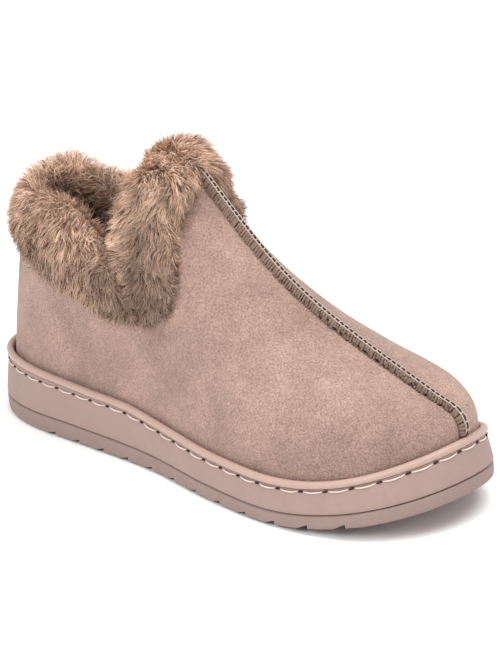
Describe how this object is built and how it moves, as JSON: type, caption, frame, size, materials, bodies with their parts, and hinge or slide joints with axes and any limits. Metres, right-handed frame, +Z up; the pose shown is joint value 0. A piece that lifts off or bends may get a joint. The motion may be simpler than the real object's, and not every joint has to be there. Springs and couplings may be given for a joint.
{
  "type": "bootie slipper",
  "caption": "Left ankle-high slipper: soft hollow upper with a raised vamp seam, a fur collar folded out and dipped at the sides, on a two-tier moulded sole.",
  "frame": {"origin": "on the flat of the tread, under the middle of the sole's length", "axes": "+X from heel to toe, +Y to the wearer's left (the outer, lateral side of this left shoe), +Z up"},
  "size_m": [0.265, 0.0977, 0.1393],
  "materials": {
    "sole_rubber": "matt moulded foam rubber in mauve brown",
    "piping": "satin piping, lighter than the sole",
    "fleece": "brown pile lining",
    "suede": "taupe suede-like nap",
    "fur": "long brown faux fur, lighter at its tips",
    "seam_thread": "overcast beige and brown thread"
  },
  "bodies": {
    "root": {"outsole": "sole_rubber", "midsole": "sole_rubber", "welt": "piping", "insole": "fleece", "upper": "suede", "cuff_back": "fur", "cuff_front": "fur", "vamp_seam": "seam_thread"}
  },
  "joints": []
}
